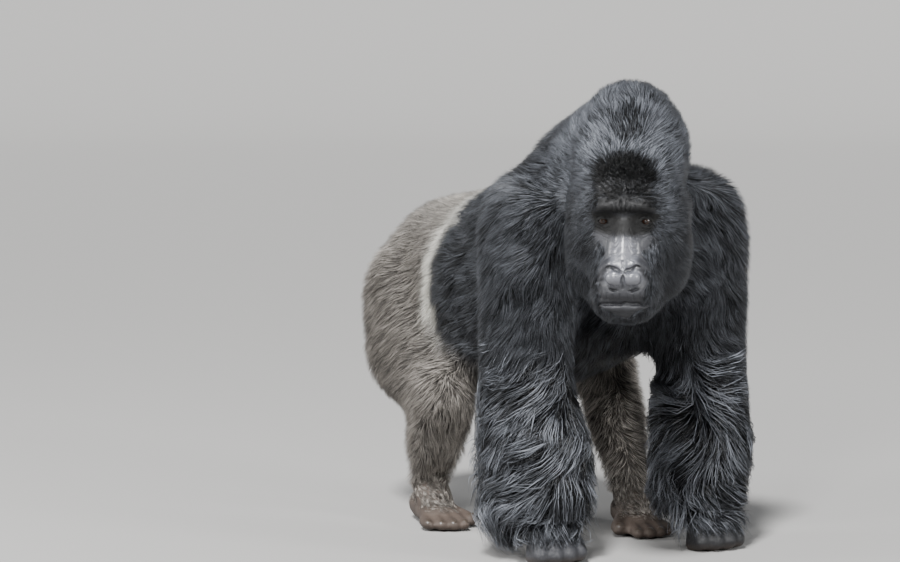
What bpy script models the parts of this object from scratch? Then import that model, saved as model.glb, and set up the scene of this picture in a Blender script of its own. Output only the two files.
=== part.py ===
"""A silverback mountain gorilla, life size, standing on all fours in mid-step with its head turned.

The animal faces -Y and its left side is +X. The outer surface is that of the coat's tips.
Flesh is built as clay: convex masses between two or more ellipsoids, fused by a voxel remesh,
smoothed and thinned. The body's clay is then parted into limbs by round cells, as a doll's
joints are, and the head, hands and feet, which are made of finer clay, are trimmed to meet it.
"""

import math

import bmesh
import bpy
from mathutils import Matrix, Vector

# Driving dimensions, in metres.
SHOULDER_HEIGHT = 0.660  # shoulder joint above the floor
HALF_SHOULDERS = 0.215  # shoulder joint from the middle plane
HALF_HIPS = 0.120
TRUNK_LENGTH = 0.740  # shoulder line to hip line
HIP_HEIGHT = 0.500
EYE_RADIUS = 0.0125
HALF_EYES = 0.041  # eye centre from the middle of the face
EYE_FORWARD, EYE_UP = 0.0915, 0.014  # eye centre in the head's own frame
SOCKET = 1.10  # the socket's radius over the eye's
CUT = 0.0003  # gap between parts that meet
HEAD_CLEARANCE = 0.003  # between the jaw and the shoulder
CELL_MARGIN = 0.030  # how far a parting cell stands clear of the limb inside it
NECK_MARGIN = 0.012  # the same, round the neck
SOLE_FLAT = 0.003  # how much of each hand and foot is cut off flat at floor level
SLEEVE_DROP = 0.055  # from the wrist joint down to where the forearm's hair ends and the hand shows

# Where the head is and how it is held: turned to the animal's right, and bowed.
HEAD_AT = Vector((-0.145, -0.263, 0.728))
HEAD_TURN = math.radians(-34)
HEAD_BOW = math.radians(15)
HEAD = Matrix.Translation(HEAD_AT) @ Matrix.Rotation(HEAD_TURN, 4, "Z") @ Matrix.Rotation(HEAD_BOW, 4, "X")

# Limb joints, right and left. The left foot is stepping forward, up to the hands.
SIDES = {"right": -1, "left": 1}
SHOULDER = {
    "right": Vector((-HALF_SHOULDERS, 0.020, SHOULDER_HEIGHT)),
    "left": Vector((HALF_SHOULDERS - 0.022, 0.020, SHOULDER_HEIGHT - 0.008)),
}
ELBOW = {"right": Vector((-0.212, 0.035, 0.360)), "left": Vector((0.225, 0.055, 0.360))}
WRIST = {"right": Vector((-0.205, -0.035, 0.135)), "left": Vector((0.178, -0.035, 0.135))}
HIP = {side: Vector((s * HALF_HIPS, TRUNK_LENGTH, HIP_HEIGHT)) for side, s in SIDES.items()}
KNEE = {"right": Vector((-0.212, 0.420, 0.290)), "left": Vector((0.185, 0.400, 0.340))}
ANKLE = {"right": Vector((-0.195, 0.525, 0.105)), "left": Vector((0.157, 0.240, 0.105))}
FOOT_TURN = {"right": math.radians(-8), "left": math.radians(-15)}

# How steeply a sleeve of hair slopes down towards the back, and how full it is.
SLEEVE_SLOPE = {"right": 0.26, "left": 0.05}
SLEEVE_FULL = {"right": 1.15, "left": 1.08}

# Triangle budgets.
BODY_TRIANGLES = 1915
HEAD_TRIANGLES = 2240
EAR_TRIANGLES = 60
HAND_TRIANGLES = 340
FOOT_TRIANGLES = 350

# How finely the clay is fused, and how many times it is then smoothed.
BODY_VOXEL, BODY_SMOOTHING = 0.013, 7
FINE_VOXEL, HEAD_SMOOTHING, LIMB_SMOOTHING = 0.0042, 6, 3
EAR_VOXEL, EAR_SMOOTHING = 0.003, 2

# The head's plane, in its own frame, where the neck meets it: a point, and the normal out of the head.
NAPE_POINT, NAPE_NORMAL = Vector((0, 0.118, 0)), Vector((0, 0.92, -0.40))

# Finishes: a linear colour and a roughness. What isn't named below is fur.
COLOURS = {
    "fur": ((0.020, 0.022, 0.027, 1), 0.60),
    "hide": ((0.016, 0.015, 0.016, 1), 0.45),
    "hip_fur": ((0.085, 0.076, 0.068, 1), 0.70),
    "eye": ((0.030, 0.012, 0.006, 1), 0.08),
    "sole": ((0.050, 0.040, 0.037, 1), 0.60),
}
FINISH = {"thigh": "hip_fur", "shin": "hip_fur", "hand": "hide", "foot": "sole", "ear": "hide"}


def clear_scene():
    for old in list(bpy.data.objects):
        bpy.data.objects.remove(old)


def material(name):
    found = bpy.data.materials.get(name)
    if found:
        return found
    colour, roughness = COLOURS[name]
    made = bpy.data.materials.new(name)
    made.use_nodes = True
    shader = made.node_tree.nodes["Principled BSDF"]
    shader.inputs["Base Color"].default_value = colour
    shader.inputs["Roughness"].default_value = roughness
    shader.inputs["Metallic"].default_value = 0.0
    return made


def object_of(name, mesh, finish=None):
    made = bpy.data.objects.new(name, mesh)
    bpy.context.scene.collection.objects.link(made)
    if finish:
        mesh.materials.clear()
        mesh.materials.append(material(finish))
        mesh.shade_smooth()
        mesh.set_sharp_from_angle(angle=math.radians(40))
    return made


def mesh_of(name, bm):
    mesh = bpy.data.meshes.new(name)
    bmesh.ops.triangulate(bm, faces=bm.faces)
    bm.to_mesh(mesh)
    bm.free()
    return mesh


# Masses: a mass is a list of balls, and a ball is a centre with three radii.


def ball(x, y, z, *radii):
    return Vector((x, y, z)), Vector(radii if len(radii) == 3 else radii * 3)


def at(point, *radii, shift=(0, 0, 0)):
    return ball(*(Vector(point) + Vector(shift)), *radii)


def both_sides(mass):
    """The mass and its mirror image across the middle plane."""
    mirrored = [(Vector((-centre.x, centre.y, centre.z)), radii) for centre, radii in mass]
    return [mass, mirrored]


def sphere_points(subdivisions):
    bm = bmesh.new()
    bmesh.ops.create_icosphere(bm, subdivisions=subdivisions, radius=1)
    points = [vertex.co.copy() for vertex in bm.verts]
    bm.free()
    return points


FINE_BALL, COARSE_BALL = sphere_points(3), sphere_points(2)


def hull_of(mass, grow=0.0, points=FINE_BALL):
    """The convex hull round a mass's balls, each grown by that much, as a mesh."""
    bm = bmesh.new()
    for centre, radii in mass:
        for point in points:
            bm.verts.new(centre + point * (radii + Vector((grow,) * 3)))
    made = bmesh.ops.convex_hull(bm, input=bm.verts)
    inner = {v for v in [*made["geom_interior"], *made["geom_unused"]] if isinstance(v, bmesh.types.BMVert)}
    bmesh.ops.delete(bm, geom=list(inner), context="VERTS")
    bmesh.ops.recalc_face_normals(bm, faces=bm.faces)
    return mesh_of("hull", bm)


def evaluated(obj):
    """The object's mesh with its modifiers applied. The object itself is removed."""
    graph = bpy.context.evaluated_depsgraph_get()
    mesh = bpy.data.meshes.new_from_object(obj.evaluated_get(graph))
    bpy.data.objects.remove(obj)
    return mesh


def clay(name, masses, voxel, smoothing, place=None):
    """Fuses masses into one smooth closed mesh."""
    bm = bmesh.new()
    for mass in masses:
        bm.from_mesh(hull_of(mass))
    if place:
        bm.transform(place)
    lump = object_of(name, mesh_of(name, bm))
    remesh = lump.modifiers.new("Fuse", "REMESH")
    remesh.mode = "VOXEL"
    remesh.voxel_size = voxel
    smooth = lump.modifiers.new("Smooth", "SMOOTH")
    smooth.factor = 0.5
    smooth.iterations = smoothing
    return evaluated(lump)


def thinned(mesh, triangles):
    """The mesh with about that many triangles."""
    mesh.calc_loop_triangles()
    lump = object_of("thinning", mesh)
    thin = lump.modifiers.new("Thin", "DECIMATE")
    thin.ratio = min(1.0, triangles / len(mesh.loop_triangles))
    thin.use_collapse_triangulate = True
    return evaluated(lump)


def carve(mesh, cutter, operation):
    """The mesh after a Boolean with the cutter's mesh."""
    body = object_of("carved", mesh.copy())
    tool = object_of("cutter", cutter)
    cut = body.modifiers.new("Cut", "BOOLEAN")
    cut.operation = operation
    cut.object = tool
    result = evaluated(body)
    bpy.data.objects.remove(tool)
    return result


def largest_piece(mesh):
    """The mesh without the small flakes that a cut can leave."""
    bm = bmesh.new()
    bm.from_mesh(mesh)
    bmesh.ops.remove_doubles(bm, verts=bm.verts, dist=1e-6)
    pieces, seen = [], set()
    for start in bm.verts:
        if start in seen:
            continue
        piece, edge_of_search = {start}, [start]
        while edge_of_search:
            here = edge_of_search.pop()
            for edge in here.link_edges:
                other = edge.other_vert(here)
                if other not in piece:
                    piece.add(other)
                    edge_of_search.append(other)
        seen |= piece
        pieces.append(piece)
    kept = max(pieces, key=len)
    bmesh.ops.delete(bm, geom=[v for v in bm.verts if v not in kept], context="VERTS")
    return mesh_of(mesh.name, bm)


def trim(mesh, point, normal):
    """Cuts away what lies beyond a plane, on its normal's side, and closes the cut."""
    bm = bmesh.new()
    bm.from_mesh(mesh)
    everything = [*bm.verts, *bm.edges, *bm.faces]
    bmesh.ops.bisect_plane(
        bm, geom=everything, plane_co=point, plane_no=normal, dist=1e-6, clear_outer=True
    )
    rim = [e for e in bm.edges if e.is_boundary]
    bmesh.ops.holes_fill(bm, edges=rim, sides=0)
    bmesh.ops.triangulate(bm, faces=bm.faces)
    bmesh.ops.recalc_face_normals(bm, faces=bm.faces)
    return mesh_of(mesh.name, bm)


def part_off(mesh, mass, margin=CELL_MARGIN):
    """Parts a limb off along a cell round its mass. Returns the limb and the rest."""
    limb = carve(mesh, hull_of(mass, margin, COARSE_BALL), "INTERSECT")
    rest = carve(mesh, hull_of(mass, margin + CUT, COARSE_BALL), "DIFFERENCE")
    return largest_piece(limb), largest_piece(rest)


def press(mesh, place, centre, reach, push):
    """Moves the clay near a point by a push that fades out over the reach, as a thumb would."""
    middle = place @ Vector(centre)
    shove = place.to_3x3() @ Vector(push)
    for vertex in mesh.vertices:
        away = (vertex.co - middle).length / reach
        if away < 2.2:
            vertex.co += shove * math.exp(-away * away * 1.5)


# The trunk, and the limbs down to wrist and ankle.


def trunk_masses():
    loin = TRUNK_LENGTH - 0.160
    barrel = [
        ball(0, 0.150, 0.595, 0.250, 0.165, 0.222),
        ball(0, 0.370, 0.545, 0.262, 0.190, 0.242),
    ]
    waist = [
        ball(0, 0.420, 0.545, 0.245, 0.170, 0.222),
        ball(0, loin, 0.548, 0.215, 0.150, 0.195),
    ]
    pelvis = [
        ball(0, loin, 0.552, 0.195, 0.140, 0.190),
        ball(0, TRUNK_LENGTH + 0.010, 0.545, 0.205, 0.150, 0.182),
    ]
    breast = [
        ball(0, 0.000, 0.620, 0.175, 0.120, 0.155),
        ball(0, 0.150, 0.590, 0.220, 0.150, 0.205),
    ]
    hump = [
        ball(0, 0.050, 0.768, 0.150, 0.150, 0.122),
        ball(0, 0.250, 0.710, 0.175, 0.150, 0.106),
    ]
    blade = [
        ball(0.150, 0.040, 0.725, 0.105, 0.120, 0.095),
        ball(0.145, 0.220, 0.660, 0.105, 0.140, 0.115),
    ]
    return [barrel, waist, pelvis, breast, hump, *both_sides(blade)]


def neck_mass():
    """From the hump to inside the back of the head. The head's clay has the same mass."""
    nape = HEAD @ Vector((0, 0.105, 0.096))
    return [
        ball(-0.064, 0.010, 0.746, 0.176, 0.130, 0.178),
        at(nape, 0.124, 0.105, 0.140),
    ]


def upper_arm_mass(side):
    shoulder, elbow = SHOULDER[side], ELBOW[side]
    return [
        at(shoulder, 0.104, 0.128, 0.130, shift=(0, 0.005, 0.030)),
        at(shoulder.lerp(elbow, 0.5), 0.100, 0.118, 0.100, shift=(0, 0.005, 0)),
        at(elbow, 0.096, 0.112, 0.100, shift=(0, 0.010, 0)),
    ]


def forearm_mass(side):
    """The forearm with its long hair, which hangs round the wrist almost to the floor."""
    elbow, wrist, full = ELBOW[side], WRIST[side], SLEEVE_FULL[side]
    return [
        at(elbow, 0.104, 0.120, 0.085, shift=(0, 0.010, -0.015)),
        at(elbow.lerp(wrist, 0.58), 0.117 * full, 0.142 * full, 0.105, shift=(0, 0.022, 0)),
        at(wrist, 0.108 * full, 0.132 * full, 0.085, shift=(-0.003, 0.045, -0.045)),
    ]


def thigh_mass(side):
    hip, knee, out = HIP[side], KNEE[side], SIDES[side]
    rear = {"right": 0.360, "left": 0.400}[side]
    return [
        at(hip, 0.125, 0.150, 0.160, shift=(out * 0.004, 0.010, -0.015)),
        ball(out * 0.135, TRUNK_LENGTH - 0.010, rear, 0.118, 0.135, 0.125),
        at(knee, 0.078, 0.082, 0.080),
    ]


def shin_mass(side):
    knee, ankle = KNEE[side], ANKLE[side]
    return [
        at(knee, 0.074, 0.076, 0.074, shift=(0, 0, -0.005)),
        at(knee.lerp(ankle, 0.45), 0.078, 0.084, 0.076, shift=(0, 0.012, 0)),
        at(ankle, 0.054, 0.058, 0.054),
    ]


# Head, in its own frame: the face looks along -Y.


def cranium_masses():
    """The domed crest, the forehead and the ridge of the brows."""
    dome = [
        ball(0, 0.020, 0.040, 0.114, 0.116, 0.100),
        ball(0, 0.040, 0.125, 0.118, 0.096, 0.090),
        ball(0, 0.075, 0.163, 0.098, 0.084, 0.090),
        ball(0, 0.142, 0.124, 0.092, 0.092, 0.105),
    ]
    forehead = [
        ball(-0.050, -0.078, 0.060, 0.034, 0.030, 0.018),
        ball(0.050, -0.078, 0.060, 0.034, 0.030, 0.018),
        ball(0, 0.000, 0.122, 0.098, 0.062, 0.060),
    ]
    brow_arch = [
        ball(0.086, -0.064, 0.034, 0.018, 0.026, 0.014),
        ball(0.048, -0.104, 0.056, 0.024, 0.027, 0.019),
    ]
    brow_middle = [
        ball(0.048, -0.104, 0.056, 0.024, 0.027, 0.018),
        ball(0, -0.110, 0.052, 0.020, 0.022, 0.016),
    ]
    return [dome, forehead, *both_sides(brow_arch), *both_sides(brow_middle)]


def face_masses():
    """Everything below the brows, from the eyelids to the throat."""
    eyelids = [ball(0.041, -0.088, 0.014, 0.023, 0.0155, 0.0165)]
    cheekbone = [
        ball(0.080, -0.062, 0.004, 0.022, 0.028, 0.024),
        ball(0.070, -0.060, -0.050, 0.034, 0.040, 0.036),
    ]
    cheek = [
        ball(0.080, -0.010, 0.000, 0.046, 0.050, 0.050),
        ball(0.080, -0.012, -0.062, 0.050, 0.068, 0.066),
        ball(0.062, -0.006, -0.118, 0.060, 0.066, 0.066),
    ]
    midface = [
        ball(-0.056, -0.070, -0.016, 0.030, 0.030, 0.018),
        ball(0.056, -0.070, -0.016, 0.030, 0.030, 0.018),
        ball(-0.038, -0.108, -0.070, 0.038, 0.034, 0.032),
        ball(0.038, -0.108, -0.070, 0.038, 0.034, 0.032),
        ball(0, -0.088, 0.030, 0.022, 0.022, 0.016),
    ]
    nose_root = [
        ball(0, -0.100, 0.012, 0.026, 0.020, 0.026),
        ball(0, -0.128, -0.052, 0.036, 0.024, 0.022),
    ]
    bridge = [
        ball(0, -0.108, 0.030, 0.017, 0.016, 0.014),
        ball(0, -0.128, -0.012, 0.019, 0.014, 0.014),
        ball(0, -0.148, -0.052, 0.024, 0.015, 0.014),
    ]
    nose_wing = [
        ball(0.037, -0.143, -0.080, 0.0140, 0.017, 0.017),
        ball(0.026, -0.150, -0.062, 0.014, 0.017, 0.013),
        ball(0.0185, -0.158, -0.080, 0.0160, 0.0165, 0.0155),
    ]
    nose_tip = [
        ball(0, -0.158, -0.070, 0.018, 0.016, 0.014),
        ball(0, -0.158, -0.092, 0.010, 0.014, 0.012),
    ]
    upper_lip = [
        ball(0.042, -0.122, -0.112, 0.030, 0.034, 0.022),
        ball(0.022, -0.138, -0.112, 0.030, 0.034, 0.022),
        ball(-0.022, -0.138, -0.112, 0.030, 0.034, 0.022),
        ball(-0.042, -0.122, -0.112, 0.030, 0.034, 0.022),
        ball(0, -0.060, -0.090, 0.070, 0.040, 0.045),
    ]
    lower_lip = [
        ball(0.036, -0.118, -0.148, 0.028, 0.032, 0.018),
        ball(0.018, -0.132, -0.148, 0.028, 0.032, 0.018),
        ball(-0.018, -0.132, -0.148, 0.028, 0.032, 0.018),
        ball(-0.036, -0.118, -0.148, 0.028, 0.032, 0.018),
        ball(0, -0.060, -0.140, 0.064, 0.040, 0.030),
    ]
    chin = [
        ball(0.024, -0.112, -0.168, 0.034, 0.032, 0.026),
        ball(-0.024, -0.112, -0.168, 0.034, 0.032, 0.026),
        ball(0, -0.056, -0.146, 0.088, 0.056, 0.044),
    ]
    throat = [
        ball(0.045, 0.020, -0.095, 0.050, 0.060, 0.070),
        ball(-0.045, 0.020, -0.095, 0.050, 0.060, 0.070),
        ball(0, -0.060, -0.130, 0.050, 0.040, 0.045),
    ]
    return [
        *both_sides(eyelids), *both_sides(cheekbone), *both_sides(cheek), midface, nose_root,
        bridge, *both_sides(nose_wing), nose_tip, upper_lip, lower_lip, chin, throat,
    ]


def head_mesh():
    """The head with its crest, brow, muzzle and jaw, down to where the neck meets it."""
    to_head = HEAD.inverted()
    neck = [(to_head @ centre, radii) for centre, radii in neck_mass()]
    masses = [*cranium_masses(), *face_masses(), neck]
    mesh = clay("head", masses, FINE_VOXEL, HEAD_SMOOTHING, place=HEAD)
    nostril_reach, lip_reach = 0.008, 0.007
    for side in SIDES.values():
        press(mesh, HEAD, (side * 0.020, -0.172, -0.095), nostril_reach, (0, 0.010, 0.005))
        # The line of the mouth, which runs back and a little down to its corners.
        for step in range(5):
            across = 0.015 * step
            lips = (side * across, -0.172 + 7.5 * across * across, -0.132 - 0.12 * across)
            press(mesh, HEAD, lips, lip_reach, (0, 0.003, 0))
    return thinned(mesh, HEAD_TRIANGLES)


def eyeball(side):
    """The eye, and the rounder ball that cuts its socket."""
    place = HEAD @ Matrix.Translation((SIDES[side] * HALF_EYES, -EYE_FORWARD, EYE_UP))
    eye, socket = bmesh.new(), bmesh.new()
    bmesh.ops.create_uvsphere(eye, u_segments=16, v_segments=10, radius=EYE_RADIUS, matrix=place)
    bmesh.ops.create_icosphere(socket, subdivisions=2, radius=EYE_RADIUS * SOCKET, matrix=place)
    return mesh_of(f"eye_{side}", eye), mesh_of("socket", socket)


def ear(side):
    """A small ear: a rim round a hollow, low on the side of the head."""
    out = SIDES[side]
    shell = [
        ball(0.112, 0.030, 0.010, 0.012, 0.013, 0.020),
        ball(0.122, 0.040, 0.014, 0.006, 0.014, 0.023),
        ball(0.112, 0.024, -0.012, 0.010, 0.009, 0.012),
    ]
    mass = [(Vector((out * c.x, c.y, c.z)), r) for c, r in shell]
    mesh = clay(f"ear_{side}", [mass], EAR_VOXEL, EAR_SMOOTHING, place=HEAD)
    press(mesh, HEAD, (out * 0.130, 0.032, 0.010), 0.010, (out * -0.007, 0, 0))
    return thinned(mesh, EAR_TRIANGLES)


# Hands and feet, each made for the left side in its own frame and mirrored for the right.


def finger(root, knuckle, thickness, tuck):
    """A finger folded under: it leans forward to the knuckle, then lies back along the floor."""
    root, knuckle = Vector(root), Vector(knuckle)
    joint = Vector((knuckle.x, knuckle.y + tuck, 0.012))
    return [
        [at(root, thickness), at(knuckle, thickness)],
        [at(knuckle, thickness), at(joint, thickness * 0.92)],
        [at(joint, thickness * 0.92), at(joint, thickness * 0.7, shift=(0, 0.006, 0.022))],
    ]


def hand_masses():
    """A hand that walks on its knuckles. The wrist is above the origin and the fingers point -Y."""
    palm = [
        ball(0, 0.010, 0.135, 0.040, 0.034, 0.030),
        ball(0, -0.006, 0.082, 0.050, 0.026, 0.024),
    ]
    masses = [palm]
    spread = {-1.5: (0.062, 0.018), -0.5: (0.069, 0.0195), 0.5: (0.068, 0.0195), 1.5: (0.060, 0.0175)}
    for place, (reach, thickness) in spread.items():
        across = place * 0.030
        masses += finger((across * 0.88, -0.010, 0.078), (across, -reach, 0.024), thickness, 0.036)
    thumb = [
        ball(-0.044, 0.008, 0.098, 0.016),
        ball(-0.060, -0.014, 0.062, 0.013),
    ]
    return [*masses, thumb]


def toe(root, tip, thickness):
    return [at(root, thickness * 1.12), at(tip, thickness)]


def foot_masses():
    """A left foot with its heel at the origin's back and its great toe standing off inwards (-X)."""
    heel = [
        ball(0, 0.052, 0.036, 0.034, 0.038, 0.036),
        ball(0.004, -0.020, 0.030, 0.037, 0.040, 0.030),
    ]
    instep = [
        ball(0, 0.018, 0.095, 0.040, 0.044, 0.036),
        ball(0, -0.040, 0.042, 0.040, 0.040, 0.028),
    ]
    ball_of_foot = [
        ball(0.004, -0.020, 0.030, 0.038, 0.040, 0.028),
        ball(0.008, -0.085, 0.024, 0.046, 0.030, 0.024),
    ]
    great_toe = [
        ball(-0.022, -0.030, 0.028, 0.022, 0.026, 0.022),
        ball(-0.052, -0.082, 0.022, 0.0165),
    ]
    great_tip = toe((-0.052, -0.082, 0.022), (-0.057, -0.112, 0.019), 0.0150)
    masses = [heel, instep, ball_of_foot, great_toe, great_tip]
    lengths = (0.158, 0.160, 0.152, 0.138)
    for index, length in enumerate(lengths):
        across = -0.024 + index * 0.0235
        masses.append(toe((across, -0.098, 0.022), (across * 1.12, -length, 0.016), 0.0130))
    return masses


def extremity(name, masses, side, place, triangles):
    """A hand or foot, cut to a small flat at floor level."""
    if side == "right":
        masses = [[(Vector((-c.x, c.y, c.z)), r) for c, r in mass] for mass in masses]
    mesh = thinned(clay(name, masses, FINE_VOXEL, LIMB_SMOOTHING, place=place), triangles)
    mesh.transform(Matrix.Translation((0, 0, -SOLE_FLAT)))
    return trim(mesh, Vector((0, 0, 0)), Vector((0, 0, -1)))


def build():
    flesh = {}
    limbs = (upper_arm_mass, forearm_mass, thigh_mass, shin_mass)
    masses = [*trunk_masses(), neck_mass(), *(limb(side) for limb in limbs for side in SIDES)]
    body = thinned(clay("body", masses, BODY_VOXEL, BODY_SMOOTHING), BODY_TRIANGLES)

    nape, outward = HEAD @ NAPE_POINT, (HEAD.to_3x3() @ NAPE_NORMAL).normalized()
    flesh["head"] = trim(head_mesh(), nape, outward)
    neck, body = part_off(body, neck_mass(), NECK_MARGIN)
    flesh["neck"] = trim(neck, nape + outward * CUT, -outward)
    for side in SIDES:
        wrist, ankle = WRIST[side], ANKLE[side]
        hand_place = Matrix.Translation((wrist.x, wrist.y, 0))
        foot_place = Matrix.Translation((ankle.x, ankle.y, 0)) @ Matrix.Rotation(FOOT_TURN[side], 4, "Z")
        down_sleeve = Vector((0, -SLEEVE_SLOPE[side], -1)).normalized()
        wrist_plane = wrist - Vector((0, 0, SLEEVE_DROP)), down_sleeve
        ankle_plane = ankle, Vector((0, -0.200, -0.980)).normalized()
        hand = extremity(f"hand_{side}", hand_masses(), side, hand_place, HAND_TRIANGLES)
        foot = extremity(f"foot_{side}", foot_masses(), side, foot_place, FOOT_TRIANGLES)
        for name, mesh, (point, normal) in (("hand", hand, wrist_plane), ("foot", foot, ankle_plane)):
            flesh[f"{name}_{side}"] = trim(mesh, point + normal * CUT, -normal)
        forearm, body = part_off(body, forearm_mass(side))
        flesh[f"forearm_{side}"] = trim(forearm, *wrist_plane)
        flesh[f"upper_arm_{side}"], body = part_off(body, upper_arm_mass(side))
        shin, body = part_off(body, shin_mass(side))
        flesh[f"shin_{side}"] = trim(shin, *ankle_plane)
        flesh[f"thigh_{side}"], body = part_off(body, thigh_mass(side))
    flesh["trunk"] = body

    for side in SIDES:
        eye, socket = eyeball(side)
        object_of(f"eye_{side}", eye, "eye")
        flesh["head"] = carve(flesh["head"], socket, "DIFFERENCE")
    for side, out in SIDES.items():
        shape = largest_piece(carve(ear(side), flesh["head"].copy(), "DIFFERENCE"))
        shape.transform(Matrix.Translation(HEAD.to_3x3() @ Vector((out * CUT, 0, 0))))
        flesh[f"ear_{side}"] = shape
    jowls = [(HEAD @ centre, radii) for mass in face_masses() for centre, radii in mass]
    for name in ("trunk", "upper_arm_right", "upper_arm_left"):
        cleared = carve(flesh[name], hull_of(jowls, HEAD_CLEARANCE), "DIFFERENCE")
        flesh[name] = largest_piece(cleared)
    for name, mesh in flesh.items():
        finish = next((FINISH[start] for start in FINISH if name.startswith(start)), "fur")
        object_of(name, mesh, finish)


def centre_on_floor():
    """Puts the origin under the middle of the whole, at floor level."""
    meshes = [obj.data for obj in bpy.data.objects]
    points = [vertex.co for mesh in meshes for vertex in mesh.vertices]
    low = Vector([min(point[axis] for point in points) for axis in range(3)])
    high = Vector([max(point[axis] for point in points) for axis in range(3)])
    middle = (low + high) / 2
    for mesh in meshes:
        mesh.transform(Matrix.Translation((-middle.x, -middle.y, -low.z)))


clear_scene()
build()
centre_on_floor()
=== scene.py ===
"""The coat, skin, eyes and nails of a silverback mountain gorilla that stands on all fours."""

import math

import bpy
import numpy as np
from mathutils import Matrix, Vector
from mathutils.bvhtree import BVHTree
from mathutils.kdtree import KDTree


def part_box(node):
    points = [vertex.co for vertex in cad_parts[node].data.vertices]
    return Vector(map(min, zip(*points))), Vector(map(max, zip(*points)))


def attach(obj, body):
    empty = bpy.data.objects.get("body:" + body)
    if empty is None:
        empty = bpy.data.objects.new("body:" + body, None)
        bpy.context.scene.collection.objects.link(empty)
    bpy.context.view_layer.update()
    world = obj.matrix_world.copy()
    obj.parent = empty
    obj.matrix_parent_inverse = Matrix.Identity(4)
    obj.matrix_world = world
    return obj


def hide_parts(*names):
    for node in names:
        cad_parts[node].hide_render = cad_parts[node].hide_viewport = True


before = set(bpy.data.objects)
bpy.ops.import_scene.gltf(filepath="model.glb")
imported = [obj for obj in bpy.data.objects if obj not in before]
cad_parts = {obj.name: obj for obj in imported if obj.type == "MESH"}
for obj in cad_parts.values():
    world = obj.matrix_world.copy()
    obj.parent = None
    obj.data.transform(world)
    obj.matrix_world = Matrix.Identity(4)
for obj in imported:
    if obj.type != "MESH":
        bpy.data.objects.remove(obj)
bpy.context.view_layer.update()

# --- Skin --------------------------------------------------------------------------------
# One hide covers the whole animal: bare, black and creased on the face, hands and feet, and
# under the hair elsewhere, where it lies inside the coat's outline by the hair's depth.

# The animal faces -Y and its left is +X. The eyes show where the head is and so, with the
# head's bow and turn, where everything on it lies: in the head's own axes the face looks
# along -Y and the crest is at +Z. The rest is placed from the floor between the shoulders.
HEAD_TURN, HEAD_BOW = math.radians(-34), math.radians(15)
EYE_OUT, EYE_FORWARD, EYE_UP, EYE_RADIUS = 0.041, 0.0915, 0.014, 0.0125
head_turn = Matrix.Rotation(HEAD_TURN, 3, "Z") @ Matrix.Rotation(HEAD_BOW, 3, "X")
between_eyes = (
    sum(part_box("eye_left"), Vector()) + sum(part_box("eye_right"), Vector())
) / 4
head_at = between_eyes - head_turn @ Vector((0, -EYE_FORWARD, EYE_UP))
HEAD_FROM_SHOULDERS = Vector((-0.145, -0.263, 0.728))
body_at = head_at - HEAD_FROM_SHOULDERS
TURN, HEAD, BODY = np.array(head_turn), np.array(head_at), np.array(body_at)


def unit(vectors):
    return vectors / np.maximum(np.linalg.norm(vectors, axis=-1, keepdims=True), 1e-9)


def smooth_step(value, low, high):
    t = np.clip((value - low) / (high - low), 0, 1)
    return t * t * (3 - 2 * t)


WAVES = 14


def drift(points, size, seed):
    """A smooth wandering value in space, mostly between -1 and 1, as a sum of waves."""
    rng = np.random.default_rng(seed)
    courses = unit(rng.normal(size=(WAVES, 3)))
    courses = courses * rng.uniform(0.6, 1.5, (WAVES, 1)) * 2 * math.pi / size
    starts = rng.uniform(0, 2 * math.pi, WAVES)
    return np.sin(points @ courses.T + starts).sum(1) * math.sqrt(2 / WAVES)


def select_only(*objects):
    bpy.ops.object.select_all(action="DESELECT")
    for obj in objects:
        obj.select_set(True)
    bpy.context.view_layer.objects.active = objects[0]


def apply_modifier(obj, kind, **settings):
    select_only(obj)
    modifier = obj.modifiers.new(kind.title(), kind)
    for name, value in settings.items():
        setattr(modifier, name, value)
    bpy.ops.object.modifier_apply(modifier=modifier.name)


def read_mesh(mesh):
    """The mesh's points, normals, triangles and edges as arrays."""
    mesh.calc_loop_triangles()
    points = np.empty((len(mesh.vertices), 3))
    normals = np.empty((len(mesh.vertices), 3))
    triangles = np.empty((len(mesh.loop_triangles), 3), int)
    edges = np.empty((len(mesh.edges), 2), int)
    mesh.vertices.foreach_get("co", points.ravel())
    mesh.vertices.foreach_get("normal", normals.ravel())
    mesh.loop_triangles.foreach_get("vertices", triangles.ravel())
    mesh.edges.foreach_get("vertices", edges.ravel())
    return points, normals, triangles, edges


def put_points(mesh, points):
    mesh.vertices.foreach_set("co", points.astype(np.float32).ravel())
    mesh.update()


def relax(values, edges, rounds, weight=1.0):
    """Evens out values, or places, along the mesh."""
    field = values.reshape(len(values), -1).astype(float)
    ends = np.concatenate([edges, edges[:, ::-1]])
    count = np.bincount(ends[:, 0], minlength=len(field))[:, None]
    share = 0.5 * np.broadcast_to(np.asarray(weight, float), (len(field),))[:, None]
    for _ in range(rounds):
        total = [np.bincount(ends[:, 0], column[ends[:, 1]], len(field)) for column in field.T]
        field += share * (np.stack(total, 1) / count - field)
    return field.reshape(values.shape)


SKIN_VOXEL = 0.0117
FLESH = [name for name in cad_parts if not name.startswith("eye")]
select_only(*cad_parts.values())
bpy.ops.object.duplicate()
copies = list(bpy.context.selected_objects)
for copy in copies:
    copy.parent = None
    for key in list(copy.keys()):
        del copy[key]
select_only(*copies)
bpy.ops.object.join()
skin = bpy.context.object
skin.name = skin.data.name = "skin"
skin.data.materials.clear()
apply_modifier(skin, "WELD", merge_threshold=1e-6)
apply_modifier(skin, "REMESH", mode="VOXEL", voxel_size=SKIN_VOXEL)

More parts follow.
